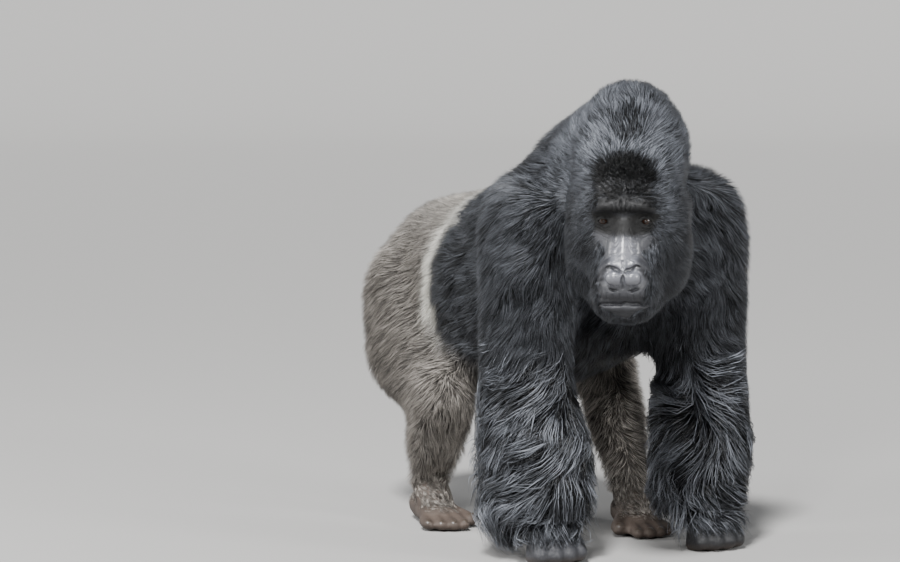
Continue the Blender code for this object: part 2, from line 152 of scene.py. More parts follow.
# Which part of the animal each spot belongs to, from the nearest solid.
KINDS = [
    "head", "neck", "trunk", "ear", "hand", "foot", "upper_arm", "forearm", "thigh", "shin", "eye"
]
solid_points, solid_triangles, solid_kind = [], [], []
for name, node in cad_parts.items():
    points, _, triangles, _ = read_mesh(node.data)
    solid_triangles.append(triangles + sum(map(len, solid_points)))
    solid_points.append(points)
    kind = name.removesuffix("_left").removesuffix("_right")
    solid_kind += [KINDS.index(kind)] * len(triangles)
solids = BVHTree.FromPolygons(
    np.concatenate(solid_points).tolist(), np.concatenate(solid_triangles).tolist()
)
solid_kind = np.array(solid_kind)


def kinds_at(points):
    return solid_kind[[solids.find_nearest(point)[2] for point in points]]


def kind_is(kinds, *names):
    return np.isin(kinds, [KINDS.index(name) for name in names])


def in_head(points):
    """Points as the head's own axes give them."""
    return (points - HEAD) @ TURN


# Half the width of the face's bare leather at heights up the head, and where it ends over
# the brows.
BARE_UP = [-0.170, -0.155, -0.140, -0.110, -0.085, -0.055, -0.030, 0.000, 0.030, 0.060, 0.075]
BARE_HALF = [0.000, 0.020, 0.048, 0.044, 0.050, 0.042, 0.038, 0.052, 0.060, 0.044, 0.016]
BARE_TOP = 0.073


def bare_share(points, kinds):
    """How bare of hair each spot is: 1 on the brows, nose and lips, 0 in the coat."""
    across, back, up = in_head(points).T
    half = np.interp(up, BARE_UP, BARE_HALF) + 0.003 * drift(points, 0.03, 3)
    face = smooth_step(half - abs(across), -0.014, 0.008) * smooth_step(-back, 0.045, 0.075)
    face *= smooth_step(BARE_TOP - up, 0.0, 0.012)
    face *= kind_is(kinds, "head", "eye")
    return np.maximum(face, kind_is(kinds, "hand", "foot", "ear"))


COAT_DEPTH = {
    "neck": 0.018,
    "trunk": 0.016,
    "upper_arm": 0.021,
    "forearm": 0.022,
    "thigh": 0.018,
    "shin": 0.018,
}


def coat_depth(points, kinds):
    """How far the hair's tips stand over the skin, in metres."""
    depth = np.zeros(len(points))
    for kind, deep in COAT_DEPTH.items():
        depth[kind_is(kinds, kind)] = deep
    across, back, up = in_head(points).T
    # On the head it is thin in front, and thicker over the crest, behind and on the lower cheeks.
    crown = 0.004 + 0.006 * smooth_step(up, 0.02, 0.10) + 0.004 * smooth_step(back, 0.00, 0.10)
    crown += 0.007 * smooth_step(abs(across), 0.050, 0.080) * smooth_step(0.02 - up, 0, 0.06)
    depth = np.where(kind_is(kinds, "head"), crown, depth)
    return depth * (1 - bare_share(points, kinds))


points, normals, triangles, edges = read_mesh(skin.data)
coat_tips = BVHTree.FromPolygons(points.tolist(), triangles.tolist())
points = relax(points, edges, 5)
kinds = kinds_at(points)
depth = relax(coat_depth(points, kinds), edges, 9)
SINK_STEPS = 4
for step in range(SINK_STEPS):
    put_points(skin.data, points)
    normals = relax(read_mesh(skin.data)[1], edges, 3)
    sunk = points - unit(normals) * depth[:, None] / SINK_STEPS
    points = relax(sunk, edges, 1, np.minimum(depth / 0.01, 1))

# The forearm's hair is far longer, and hangs round a wrist of the arm's own thickness.
ARM_AT_WRIST = 0.62
for side in ("right", "left"):
    (low, high), (hand_low, hand_high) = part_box(f"forearm_{side}"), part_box(f"hand_{side}")
    elbow = np.array([(low.x + high.x) / 2, (low.y + high.y) / 2, high.z - 0.02])
    wrist = np.array([(hand_low.x + hand_high.x) / 2, (hand_low.y + hand_high.y) / 2, hand_high.z])
    same_side = np.sign(points[:, 0]) == np.sign(wrist[0])
    here = relax(kind_is(kinds, "forearm") * same_side * 1.0, edges, 4)
    down = np.clip((points[:, 2] - elbow[2]) / (wrist[2] - elbow[2]), 0, 1)
    axis = elbow + (wrist - elbow) * down[:, None]
    axis[:, 2] = points[:, 2]
    squeeze = 1 - (1 - ARM_AT_WRIST) * smooth_step(down, 0, 0.9) * here
    points = axis + (points - axis) * squeeze[:, None]
points = relax(points, edges, 4, relax(kind_is(kinds, "forearm") * 1.0, edges, 3))
put_points(skin.data, points)


def divide_where(chosen):
    """Halves the faces whose corners are all chosen."""
    select_only(skin)
    faces = skin.data.polygons
    picked = np.array([all(chosen[v] for v in face.vertices) for face in faces])
    skin.data.vertices.foreach_set("select", np.zeros(len(chosen), bool))
    skin.data.edges.foreach_set("select", np.zeros(len(skin.data.edges), bool))
    faces.foreach_set("select", picked)
    bpy.ops.object.mode_set(mode="EDIT")
    bpy.ops.mesh.select_mode(type="FACE")
    bpy.ops.mesh.subdivide(number_cuts=1)
    bpy.ops.object.mode_set(mode="OBJECT")


# Zones of the face, from the widest in: half the width, the lowest and highest place, and how
# far back each goes.
WHOLE_FACE = (0.085, -0.200, 0.095, -0.015)
BARE_FACE = (0.072, -0.178, 0.078, -0.030)
MIDDLE_FACE = (0.070, -0.170, 0.070, -0.050)
FRONT_FACE = (0.060, -0.155, 0.066, -0.075)


def face_zone(points, half_width, low, high, rear):
    across, back, up = in_head(points).T
    return (abs(across) < half_width) & (up > low) & (up < high) & (back < rear)


# The face, ears, hands and feet are divided finer, step by step. Where they are bare they are
# drawn out again to the solids, and then evened.
divide_where(face_zone(points, *WHOLE_FACE) | kind_is(kinds, "hand", "foot", "ear"))
points, normals, triangles, edges = read_mesh(skin.data)
kinds = kinds_at(points)
hold = bare_share(points, kinds) > 0.4
points[hold] = [coat_tips.find_nearest(point)[0] for point in points[hold]]
points = relax(points, edges, 3)
put_points(skin.data, points)
divide_where(kind_is(kinds_at(points), "hand", "foot") & (normals[:, 2] > -0.4))
points, normals, triangles, edges = read_mesh(skin.data)
kinds = kinds_at(points)
hold = kind_is(kinds, "hand", "foot") & (points[:, 2] < 0.075)
points[hold] = [solids.find_nearest(point)[0] for point in points[hold]]
points = relax(points, edges, 3, relax(kind_is(kinds, "hand", "foot") * 1.0, edges, 2))
put_points(skin.data, points)
divide_where(face_zone(points, *BARE_FACE))
points, normals, triangles, edges = read_mesh(skin.data)
front = face_zone(points, *WHOLE_FACE)
hold = bare_share(points, kinds_at(points)) > 0.9
points[hold & front] = [solids.find_nearest(point)[0] for point in points[hold & front]]
points = relax(points, edges, 9, front)
put_points(skin.data, points)
divide_where(face_zone(points, *FRONT_FACE))
points, normals, triangles, edges = read_mesh(skin.data)
points = relax(points, edges, 6, face_zone(points, *MIDDLE_FACE))
put_points(skin.data, points)

# The face's forms and creases lie along lines and round middles, given as out from the middle
# line and up in the head's own axes. Each is the same on both sides, but for a little waviness.


def near_line(out, up, line):
    """Each spot's distance from a line, and how far along the line its nearest place is, 0 to 1."""
    corners = np.array(line, float)
    steps = np.diff(corners, axis=0)
    lengths = np.linalg.norm(steps, axis=1)
    before = np.concatenate([[0], np.cumsum(lengths)[:-1]])
    best, along = np.full(len(out), 9.0), np.zeros(len(out))
    for corner, step, length, start in zip(corners, steps, lengths, before):
        t = np.clip(((out - corner[0]) * step[0] + (up - corner[1]) * step[1]) / length**2, 0, 1)
        gap = np.hypot(out - corner[0] - t * step[0], up - corner[1] - t * step[1])
        nearer = gap < best
        best[nearer] = gap[nearer]
        along[nearer] = (start + t * length)[nearer] / lengths.sum()
    return best, along


FADE = 0.18


def fold(out, up, line, width, height):
    """A ridge along a line, or with a height below 0 a crease, that fades at its ends."""
    gap, along = near_line(out, up, line)
    ends = smooth_step(along, -0.01, FADE) * smooth_step(1 - along, -0.01, FADE)
    return height * ends * np.exp(-((gap / width) ** 2))


def mound(out, up, middle, half_width, half_height, height):
    """A rounded rise, or with a height below 0 a pit."""
    reach = ((out - middle[0]) / half_width) ** 2 + ((up - middle[1]) / half_height) ** 2
    return height * np.maximum(1 - reach, 0) ** 0.75


def arc(middle, radius, first, last, squash=1.0):
    """Corners along part of a ring, from one angle to another in degrees."""
    turns = np.radians(np.linspace(first, last, 9))
    out = middle[0] + radius * np.cos(turns)
    up = middle[1] + squash * radius * np.sin(turns)
    return list(zip(out, up))


# Folds are given as their line, width and height, and mounds as their middle, half width, half
# height and rise: brows, cheeks, the nose's ring and pads, and the lips.
EYE = (EYE_OUT, EYE_UP)
NOSE_PAD = (0.0185, -0.0815)
MOUTH = [(-0.01, -0.1330), (0.030, -0.1365), (0.052, -0.1430), (0.064, -0.1520)]
FORMS = [
    ("fold", [(0.006, 0.046), (0.026, 0.054), (0.050, 0.052), (0.067, 0.040)], 0.010, 0.0020),
    ("fold", [(-0.01, 0.090), (0.032, 0.087), (0.062, 0.074)], 0.015, 0.0060),
    ("fold", [(-0.02, 0.032), (0.019, 0.031)], 0.006, -0.0030),
    ("mound", (0.051, -0.026), 0.020, 0.016, 0.0028),
    ("fold", arc(NOSE_PAD, 0.0285, 118, -58), 0.0055, 0.0042),
    ("fold", arc(NOSE_PAD, 0.0205, 140, -62), 0.0034, -0.0036),
    ("mound", NOSE_PAD, 0.0162, 0.0165, 0.0064),
    ("mound", (0.0, -0.050), 0.022, 0.018, 0.0020),
    ("fold", [(-0.01, -0.1265), (0.030, -0.1290), (0.052, -0.1350)], 0.0042, 0.0016),
    ("fold", [(-0.01, -0.1405), (0.030, -0.1435), (0.050, -0.1490)], 0.0050, 0.0026),
    ("fold", [(-0.01, -0.1550), (0.034, -0.1560)], 0.0045, -0.0022),
]
# The nose's rim and furrow, the nostrils, the mouth, the cheeks' folds, the frown and brow, and
# the wrinkles under the eyes, beside the nose and over the upper lip.
CREASES = [
    (
        "fold",
        [(0.0, -0.0690), (0.012, -0.0635), (0.024, -0.0570), (0.036, -0.0580)],
        0.0032,
        -0.0085,
    ),
    ("fold", [(0.0, -0.044), (0.0, -0.0610)], 0.0019, -0.0024),
    ("fold", [(0.0, -0.0690), (0.0, -0.104)], 0.0024, -0.0052),
    ("mound", (0.0205, -0.1035), 0.0095, 0.0036, -0.0050),
    ("fold", MOUTH, 0.0020, -0.0042),
    ("fold", [(0.044, -0.066), (0.054, -0.092), (0.063, -0.122), (0.064, -0.150)], 0.0028, -0.0026),
    ("fold", [(0.0040, 0.036), (0.0050, 0.068)], 0.0015, -0.0030),
    ("fold", [(0.0120, 0.036), (0.0140, 0.064)], 0.0015, -0.0026),
    ("fold", [(0.0200, 0.041), (0.0225, 0.060)], 0.0014, -0.0017),
    ("fold", [(-0.01, 0.0385), (0.020, 0.0400)], 0.0013, -0.0012),
    ("fold", arc(EYE, 0.0165, 22, 158, 0.62), 0.0012, -0.0018),
    ("fold", arc(EYE, 0.0175, -18, -158, 0.66), 0.0012, -0.0016),
    ("fold", arc(EYE, 0.0225, -24, -150, 0.72), 0.0014, -0.0018),
    ("fold", arc(EYE, 0.0280, -30, -140, 0.76), 0.0015, -0.0015),
    ("fold", arc(EYE, 0.0340, -40, -125, 0.80), 0.0016, -0.0012),
    ("fold", [(0.0030, 0.006), (0.0100, -0.010), (0.0220, -0.022)], 0.0013, -0.0015),
    ("fold", [(0.0045, -0.008), (0.0130, -0.022), (0.0280, -0.034)], 0.0013, -0.0016),
    ("fold", [(0.0040, -0.022), (0.0140, -0.034), (0.0310, -0.043)], 0.0013, -0.0015),
    ("fold", [(0.0035, -0.034), (0.0140, -0.045), (0.0300, -0.052)], 0.0012, -0.0012),
    ("fold", [(0.0110, 0.012), (0.0180, -0.006), (0.0300, -0.018)], 0.0012, -0.0012),
    ("fold", [(0.0080, -0.109), (0.0065, -0.126)], 0.0013, -0.0010),
    ("fold", [(0.0190, -0.111), (0.0180, -0.127)], 0.0013, -0.0010),
    ("fold", [(0.0310, -0.108), (0.0320, -0.128)], 0.0013, -0.0011),
    ("fold", [(0.0430, -0.102), (0.0470, -0.128)], 0.0014, -0.0012),
]


def model_face(points, forms, sway):
    """Raises and sinks the forms on the front of the face."""
    put_points(skin.data, points)
    normals = read_mesh(skin.data)[1]
    across, back, up = in_head(points).T
    out = abs(across) + sway * drift(points, 0.022, 11)
    up = up + sway * drift(points, 0.022, 12)
    push = np.zeros(len(points))
    for kind, *shape in forms:
        push += fold(out, up, *shape) if kind == "fold" else mound(out, up, *shape)
    push *= smooth_step(-back, 0.050, 0.075) * (abs(across) < 0.075)
    return points + normals * push[:, None]


points = model_face(points, FORMS, 0.0004)
points = relax(points, edges, 2, face_zone(points, *MIDDLE_FACE))
points = model_face(points, CREASES, 0.0010)
put_points(skin.data, points)

# The lids lie on the eyeballs, about 2 mm thick, and part in an almond.
LID, EYE_OPEN_WIDE, EYE_OPEN_UP, EYE_OPEN_DOWN = 0.0019, 0.0116, 0.0050, 0.0042


def from_eye(points):
    """Each point from its own side's eye, in the head's axes, with away from the nose positive."""
    across, back, up = in_head(points).T
    return np.stack([abs(across) - EYE_OUT, back + EYE_FORWARD, up - EYE_UP], 1)


local = from_eye(points)
divide_where((np.linalg.norm(local[:, ::2], axis=1) < 0.019) & (local[:, 1] < 0.002))
points, normals, triangles, edges = read_mesh(skin.data)
local = from_eye(points)
reach = np.linalg.norm(local, axis=1)
front = (local[:, 1] < 0.001) & (reach < 0.030)
almond = np.maximum(1 - (local[:, 0] / EYE_OPEN_WIDE) ** 2, 0) ** 0.7
rim = np.where(local[:, 2] > 0, EYE_OPEN_UP, EYE_OPEN_DOWN) * almond
inside = (abs(local[:, 0]) < EYE_OPEN_WIDE) & (abs(local[:, 2]) < rim)
lid_edge = 0.0008 * np.exp(-(((abs(local[:, 2]) - rim - 0.0012) / 0.0010) ** 2))
lid_reach = EYE_RADIUS + LID + lid_edge
wanted = np.where(inside, EYE_RADIUS - 0.0030, np.maximum(reach, lid_reach))
wanted = np.where(front, wanted, reach)
shift = local * (wanted / reach - 1)[:, None]
shift[:, 0] *= np.where(in_head(points)[:, 0] < 0, -1, 1)
points = points + shift @ TURN.T
put_points(skin.data, points)
skin.data.shade_smooth()


class Tone:
    """A value or a colour in a material. Arithmetic on it adds Math nodes."""

    def __init__(self, tree, socket=None):
        self.tree, self.socket = tree, socket

    def node(self, kind, settings=None, socket_dullness_and_shade=None, output=0):
        """Adds any node: first its settings, then its sockets' values or links."""
        made = self.tree.nodes.new("ShaderNode" + kind)
        for name, value in (settings or {}).items():
            setattr(made, name, value)
        for name, value in (socket_dullness_and_shade or {}).items():
            if isinstance(value, Tone):
                self.tree.links.new(value.socket, made.inputs[name])
            else:
                made.inputs[name].default_value = value
        return Tone(self.tree, made.outputs[output])

    def maths(self, operation, first, second):
        return self.node("Math", {"operation": operation}, {0: first, 1: second})

    def __add__(self, other):
        return self.maths("ADD", self, other)

    __radd__ = __add__

    def __sub__(self, other):
        return self.maths("SUBTRACT", self, other)

    def __rsub__(self, other):
        return self.maths("SUBTRACT", other, self)

    def __mul__(self, other):
        return self.maths("MULTIPLY", self, other)

    __rmul__ = __mul__


def new_look(name, **constants):
    """A material with its constant sockets set, its start and its shader node."""
    look = bpy.data.materials.new(name)
    look.use_nodes = True
    shader = look.node_tree.nodes["Principled BSDF"]
    for socket, value in constants.items():
        shader.inputs[socket.replace("_", " ")].default_value = value
    return look, Tone(look.node_tree), shader


def colour(red, green, blue):
    """A linear colour from its usual 0 to 255 values."""
    return (*[(part / 255) ** 2.2 for part in (red, green, blue)], 1)


def keep_value(mesh, name, values):
    """Stores one value for each point, for the materials to read."""
    held = mesh.attributes.new(name, "FLOAT", "POINT")
    held.data.foreach_set("value", values.astype(np.float32))


def held_value(start, name):
    return start.node("Attribute", {"attribute_name": name}, output=2)


def mixed(share, low, high):
    """The colour low where share is 0 and high where it is 1."""
    return share.node("Mix", {"data_type": "RGBA"}, {0: share, 6: low, 7: high}, 2)


# The saddle's front edge on the flank, as places back from the shoulders at heights up, and
# the width of its white at heights up.
SADDLE_UP = [0.30, 0.360, 0.392, 0.424, 0.458, 0.500, 0.584, 0.629, 0.671, 0.720, 0.800]
SADDLE_FRONT = [0.330, 0.387, 0.419, 0.456, 0.474, 0.460, 0.451, 0.432, 0.405, 0.440, 0.450]
WHITE_UP = [0.34, 0.44, 0.50, 0.60, 0.75]
WHITE_WIDE = [0.015, 0.030, 0.070, 0.060, 0.030]
# Low on the flank the white ends sharply, and over the back it melts into the grey.
MELT_UP, MELT_WIDE = [0.55, 0.72], [0.025, 0.130]


def silver_share(points, kinds):
    """How silver each spot is: a white edge down the flank, and a paler wash over the back."""
    _, back, up = (points - BODY).T
    behind = back - np.interp(up, SADDLE_UP, SADDLE_FRONT) + 0.009 * drift(points, 0.06, 31)
    past = (behind - np.interp(up, WHITE_UP, WHITE_WIDE)) / np.interp(up, MELT_UP, MELT_WIDE)
    strip = smooth_step(behind, -0.008, 0.012) * (1 - smooth_step(past, -0.8, 1.0))
    strip *= smooth_step(up, 0.35, 0.50)
    wash = smooth_step(behind, 0, 0.030) * smooth_step(up, 0.56, 0.72)
    wash *= 1 - smooth_step(behind, 0.30, 0.46)
    return np.maximum(strip, 0.1 * wash) * kind_is(kinds, "trunk", "thigh")


def brown_share(points, kinds):
    """How brown and grey each spot is: the rump behind the saddle, and the hind legs."""
    _, back, up = (points - BODY).T
    behind = back - np.interp(up, SADDLE_UP, SADDLE_FRONT)
    rump = smooth_step(behind, 0.0, 0.03) * kind_is(kinds, "trunk", "thigh")
    return np.maximum(rump, kind_is(kinds, "shin", "foot"))


kinds = kinds_at(points)
# Dust lies on the feet, and on the hands near the ground.
near_ground = smooth_step(0.020 - points[:, 2], 0, 0.02)
dusty = kind_is(kinds, "foot") + near_ground * kind_is(kinds, "hand")
keep_value(skin.data, "dusty", relax(dusty, edges, 4))
keep_value(skin.data, "silver", silver_share(points, kinds))
keep_value(skin.data, "brown", brown_share(points, kinds))


def around(places, middle, reach):
    """How near each place is to the middle of a patch: 1 in it, falling to 0 past its edge."""
    far = np.linalg.norm((places - np.array(middle)) / np.array(reach), axis=1)
    return 1 - smooth_step(far, 0.6, 1.2)


# The leather gleams on the nose's pads and bridge, and its colour is painted lighter there as a
# painted highlight. Round the eyes it is dull and painted darker, as painted shade under the brows;
# on the brows it is dull and a little darker.
out_and_up = abs(in_head(points)) * [1, 0, 0] + in_head(points) * [0, 0, 1]
pad_gloss_and_highlight = around(out_and_up, (0.0185, 0, -0.080), (0.024, 1, 0.020))
bridge_gloss_and_highlight = around(out_and_up, (0.004, 0, -0.040), (0.026, 1, 0.040))
socket_dullness_and_shade = around(out_and_up, (0.034, 0, 0.014), (0.048, 1, 0.022))
brows = around(out_and_up, (0, 0, 0.055), (0.080, 1, 0.020))
# This sets the gloss, and through the colour a painted highlight on the pads and bridge and painted
# shade round the eyes.
polish_and_painted_light = 0.5 + 0.5 * np.maximum(pad_gloss_and_highlight, bridge_gloss_and_highlight) - 0.5 * np.maximum(socket_dullness_and_shade, 0.6 * brows)
keep_value(skin.data, "polish_and_painted_light", np.where(in_head(points)[:, 1] < -0.06, polish_and_painted_light, 0.30))
look, start, shader = new_look("hide", IOR=1.45, Specular_IOR_Level=0.28, Coat_Roughness=0.24)
place = start.node("TexCoord", output=3)
fine = place.node(
    "TexNoise", None, {"Vector": place, "Scale": 260.0, "Detail": 3.0, "Roughness": 0.6}
)
broad = place.node("TexNoise", None, {"Vector": place, "Scale": 22.0, "Detail": 2.0})
cells = place.node(
    "TexVoronoi", {"feature": "DISTANCE_TO_EDGE"}, {"Vector": place, "Scale": 420.0}
)
dusty = held_value(start, "dusty")
polish_and_painted_light = held_value(start, "polish_and_painted_light")
DULL_LEATHER, PAINTED_HIGHLIGHT_LEATHER = colour(17, 17, 17), colour(80, 81, 86)
DUST_DARK, DUST_PALE = colour(38, 33, 30), colour(76, 67, 61)
UNDER_BROWN, UNDER_SILVER = colour(60, 56, 52), colour(200, 198, 188)
# The leather's colour: lighter with a painted highlight on the pads and bridge, darker with painted
# shade round the eyes.
leather_with_painted_light = mixed(polish_and_painted_light * polish_and_painted_light, DULL_LEATHER, PAINTED_HIGHLIGHT_LEATHER)
bare_tint = mixed(dusty, leather_with_painted_light, mixed(broad, DUST_DARK, DUST_PALE))
under_hair = mixed(held_value(start, "brown") - dusty, bare_tint, UNDER_BROWN)
tint = mixed(held_value(start, "silver"), under_hair, UNDER_SILVER)
tint.tree.links.new(tint.socket, shader.inputs["Base Color"])
gloss = 0.50 + fine * 0.16 + dusty * 0.15 - polish_and_painted_light * 0.36
gloss.tree.links.new(gloss.socket, shader.inputs["Roughness"])
shine = (polish_and_painted_light - 0.5) * 2.0
shine.tree.links.new(shine.socket, shader.inputs["Coat Weight"])
grain = fine * 0.5 + cells * 1.4
bump = grain.node("Bump", None, {"Strength": 0.6, "Distance": 0.0013, "Height": grain})
bump.tree.links.new(bump.socket, shader.inputs["Normal"])
skin.data.materials.append(look)
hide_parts(*FLESH)
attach(skin, "root")

# --- Coat --------------------------------------------------------------------------------
# Hair grows out of the hide in small pointed locks that lie along the body: short and dense on
# the head, shaggy and waved on the forearms. The back is silver and the hips brown-grey.

# The hide's own shape is laid out flat, and each lock keeps the place of its root on it.
select_only(skin)
bpy.ops.object.mode_set(mode="EDIT")
bpy.ops.mesh.select_all(action="SELECT")
bpy.ops.uv.smart_project(angle_limit=math.radians(66), island_margin=0.001)
bpy.ops.object.mode_set(mode="OBJECT")
skin.data.uv_layers.active.name = "OFBake"
points, normals, triangles, edges = read_mesh(skin.data)
flat = np.empty(len(skin.data.loops) * 2)
skin.data.uv_layers["OFBake"].uv.foreach_get("vector", flat)
triangle_loops = np.empty(len(triangles) * 3, int)
skin.data.loop_triangles.foreach_get("loops", triangle_loops)
triangle_flat = flat.reshape(-1, 2)[triangle_loops].reshape(-1, 3, 2)
kinds = kinds_at(points)
head_points = in_head(points)
bare = relax(bare_share(points, kinds), edges, 2)
# How far the tips stand over the hide: out to the coat's own outline.
reach_out = np.array([coat_tips.find_nearest(point)[3] for point in points])
reach_out = relax(reach_out, edges, 2)
hide = BVHTree.FromPolygons(points.tolist(), triangles.tolist())

# The lie of the coat on each part, for the left side; the right side is its mirror image.
FLOWS = {
    "neck": (0.10, 0.90, -0.35),
    "trunk": (0.10, 0.75, -0.60),
    "upper_arm": (0.45, 0.50, -1.0),
    "forearm": (0.66, 0.42, -0.80),
    "thigh": (0.10, 0.35, -0.95),
    "shin": (0.15, 0.25, -1.0),
    "hand": (0.10, -0.45, -0.80),
    "foot": (0, -0.85, -0.40),
    "ear": (0, 0.6, 0.6),
}
# On the head the hair runs out from between the brows: up over the crest, back and down.
WHORL = np.array([0, -0.100, 0.052])
flow = unit(head_points - WHORL) @ TURN.T
outward = np.tanh((points - BODY)[:, 0] / 0.03)
for kind, course in FLOWS.items():
    here = kind_is(kinds, kind)
    mirrored = np.array(course) * np.stack([outward, *np.ones((2, len(points)))], 1)
    flow[here] = unit(mirrored)[here]
flow += 0.22 * np.stack([drift(points, 0.20, seed) for seed in (21, 22, 23)], 1)
flow = relax(flow, edges, 14)
normals = relax(normals, edges, 4)

# How pale the hair is: paler up the head with a painted sheen, and paler on the shins with painted
# light.
# It is blackest in three patches: painted shade over the brows and on the forehead, in the hollow
# under the crest, and a dark spot on the crest. Each patch has its middle, its reach and its depth.
silver = silver_share(points, kinds)
brown = relax(brown_share(points, kinds) * 1.0, edges, 6)
BLACK_TONE, PLAIN_TONE = -0.05, 0.03
# The shins' paler tone is painted light.
TONES_AND_PAINTED_LIGHT = {"neck": -0.04, "shin": 0.26, "forearm": BLACK_TONE}
SHADE_AND_DARK_PATCHES = [
    ((0, -0.090, 0.102), (0.060, 0.060, 0.036), 1.3),
    ((0, -0.110, 0.066), (0.062, 0.050, 0.026), 0.6),
    ((0.003, -0.023, 0.190), (0.030, 0.040, 0.044), 0.5),
]
# Paler up the head: a painted sheen.
painted_sheen_up_the_head = 0.07 + 0.10 * smooth_step(head_points[:, 2], -0.02, 0.12)
tone_and_painted_light = np.where(kind_is(kinds, "head"), painted_sheen_up_the_head, PLAIN_TONE)
for kind, value in TONES_AND_PAINTED_LIGHT.items():
    tone_and_painted_light[kind_is(kinds, kind)] = value
tone_and_painted_light[kind_is(kinds, "trunk") & (brown < 0.5)] = BLACK_TONE
tone_and_painted_light = relax(tone_and_painted_light, edges, 14)
for middle, reach, dark in SHADE_AND_DARK_PATCHES:
    tone_and_painted_light -= dark * around(head_points, middle, reach)


def spread(weight, count, rng):
    """Roots spread over the hide: each one's triangle, and its shares of the three corners."""
    first, second, third = points[triangles].transpose(1, 0, 2)
    area = np.linalg.norm(np.cross(second - first, third - first), axis=1)
    load = np.cumsum(area * weight[triangles].mean(1))
    picks = np.searchsorted(load, (np.arange(count) + rng.random(count)) / count * load[-1])
    shares = rng.random((count, 2))
    over = shares.sum(1) > 1
    shares[over] = 1 - shares[over]
    return np.minimum(picks, len(triangles) - 1), np.column_stack([1 - shares.sum(1), shares])


ROOT_SUNK, OVER_FLOOR = 0.0006, 0.002


def grow(name, weight, count, joints, length, width, gather=0.5, curl=0.0, seed=1):
    """Grows one piece of coat, of closed three-sided locks that taper to a point."""
    rng = np.random.default_rng(seed)
    picks, shares = spread(weight, count, rng)
    corners = triangles[picks]

    def at_root(values):
        return np.einsum("nk...,nk->n...", values[corners], shares)

    # Neighbouring locks gather into strands, each with a tone and a height of its own.
    root = at_root(points)
    lead = rng.choice(count, int(count * (0.25 - 0.25 * gather)), replace=False)
    tree = KDTree(len(lead))
    for index, leader in enumerate(lead):
        tree.insert(root[leader], index)
    tree.balance()
    leader = lead[[tree.find(place)[1] for place in root]]
    strand, own = rng.random(count)[leader], rng.random(count)

    long = at_root(length) * (0.72 + 0.30 * own + 0.22 * strand)
    height = at_root(reach_out) * (0.62 + 0.30 * rng.random(count) + 0.28 * strand)
    height += np.clip(0.10 * long, 0.0008, 0.004)
    turn = 0.16 * rng.normal(size=count) + 0.30 * drift(root, 0.06, seed + 40)
    bend = curl * drift(root, 0.11, seed + 50)
    foot, up, course = root, unit(at_root(normals)), at_root(flow)
    line, ups = [root - up * ROOT_SUNK], [up]
    for joint in range(joints):
        course = unit(course - (course * up).sum(1)[:, None] * up)
        side = np.cross(course, up)
        course = unit(course + side * (turn + bend * joint / joints)[:, None])
        found = [hide.find_nearest(place) for place in foot + course * long[:, None] / joints]
        foot = np.array([place for place, *_ in found])
        under = triangles[[index for _, _, index, _ in found]]
        up, course = unit(normals[under].mean(1)), flow[under].mean(1)
        share = (joint + 1) / joints
        line.append(foot + up * (height * (1 - (1 - share) ** 2))[:, None])
        ups.append(up)

    def along_lock(values):
        return 0.25 * at_root(values) + 0.75 * values[under].mean(1)

    line, up = np.stack(line, 1), np.stack(ups, 1)
    pull = gather * (np.arange(joints + 1) / joints) ** 1.3
    line += (line[leader] - line) * pull[None, :, None]
    line[..., 2] = np.maximum(line[..., 2], OVER_FLOOR)

    ahead = unit(np.gradient(line, axis=1))
    sides = unit(np.cross(ahead, up))
    ridge = np.cross(sides, ahead)
    wide = width * rng.uniform(0.7, 1.3, count)
    taper = np.linspace(1, 0, joints + 1)[:-1] ** 0.7
    taper[0] *= 0.75
    half = wide[:, None, None] * taper[None, :, None] / 2
    spine, tip = line[:, :-1], line[:, -1:]
    aside, raised = sides[:, :-1] * half, ridge[:, :-1] * half * 0.9
    rings = np.stack([spine - aside, spine + aside, spine + raised], 2).reshape(count, -1, 3)
    lock_points = np.concatenate([rings, tip], 1)
    faces = [(0, 1, 2)]
    for joint in range(joints - 1):
        for k in range(3):
            a, b = joint * 3 + k, joint * 3 + (k + 1) % 3
            faces += [(a, a + 3, b + 3), (a, b + 3, b)]
    last = 3 * (joints - 1)
    faces += [(last + k, 3 * joints, last + (k + 1) % 3) for k in range(3)]
    each = 3 * joints + 1
    corner_index = (np.arange(count)[:, None] * each + np.array(faces).ravel()).ravel()

    mesh = bpy.data.meshes.new(name)
    mesh.vertices.add(count * each)
    mesh.vertices.foreach_set("co", lock_points.astype(np.float32).ravel())
    mesh.loops.add(len(corner_index))
    mesh.loops.foreach_set("vertex_index", corner_index.astype(np.int32))
    mesh.polygons.add(len(corner_index) // 3)
    mesh.polygons.foreach_set("loop_start", np.arange(0, len(corner_index), 3, dtype=np.int32))
    mesh.update(calc_edges=True)
    mesh.shade_smooth()
    reach = np.append(np.repeat(np.arange(joints) / joints, 3), 1.0)
    across = np.append(np.tile([0, 1, 0.5], joints), 0.5)
    patch = 0.003 * (np.stack([across, reach], 1) - 0.5)
    home = np.einsum("nkc,nk->nc", triangle_flat[picks], shares)
    places = (home[:, None] + patch[None]).reshape(-1, 2)[corner_index]
    mesh.uv_layers.new(name="OFBake").uv.foreach_set("vector", places.astype(np.float32).ravel())
    # Most locks are dark and a few are bright, strand by strand and lock by lock; among the black,
    # the bright locks are a painted sheen.
    # Paler here carries the painted sheen up the head, painted light on the shins and painted shade
    # over the brows.
    pale = at_root(tone_and_painted_light)
    shade = 1.5 * gather * strand**4 + (1.25 - gather) * own**4
    shade = shade + 0.05 * drift(root, 0.05, seed + 60)
    shade = shade * (1 + 3 * np.maximum(pale, 0)) + np.where(pale > 0, 0.5, 1) * pale
    keep_value(mesh, "shade", np.repeat(np.clip(shade, 0, 1), each))
    keep_value(mesh, "reach", np.tile(reach, count))
    keep_value(mesh, "silver", np.repeat(along_lock(silver), each))
    keep_value(mesh, "brown", np.repeat(along_lock(brown), each))
    coat = bpy.data.objects.new(name, mesh)
    bpy.context.scene.collection.objects.link(coat)
    mesh.materials.append(hair_look)
    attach(coat, "root")
